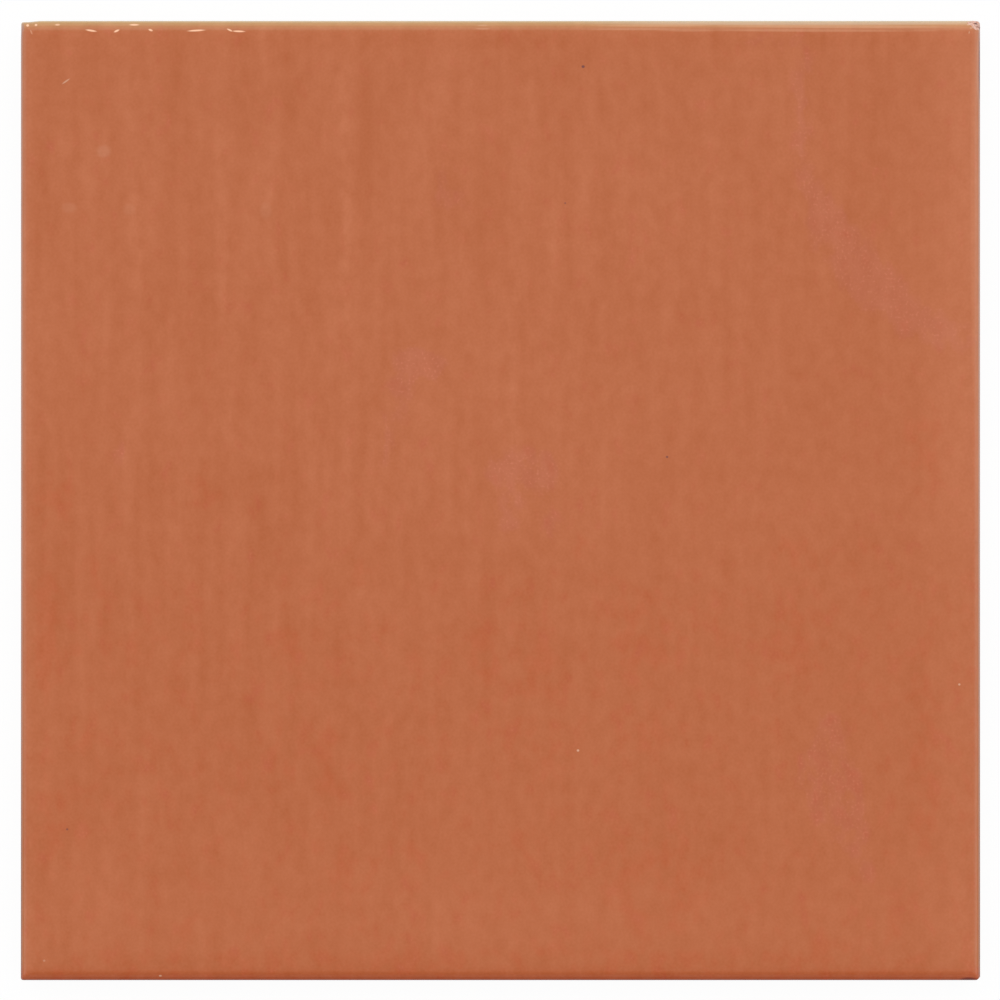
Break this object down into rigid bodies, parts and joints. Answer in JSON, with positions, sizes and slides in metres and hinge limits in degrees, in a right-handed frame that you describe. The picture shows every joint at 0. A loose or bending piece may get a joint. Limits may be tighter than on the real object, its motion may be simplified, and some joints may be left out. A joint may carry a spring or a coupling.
{
  "type": "ceramic wall tile",
  "caption": "Square glazed ceramic wall tile in glossy terracotta orange, with a cushioned rolled edge, drafted sides and a back keyed for adhesive.",
  "frame": {"origin": "middle of the tile's back, on the plane of the back ribs", "axes": "+Z out through the glazed face, +X and +Y along the tile's sides, with +Y towards the top of the picture"},
  "size_m": [0.15, 0.15, 0.008],
  "materials": {
    "glazed_clay": "gloss"
  },
  "bodies": {
    "root": {"tile": "glazed_clay"}
  },
  "joints": []
}
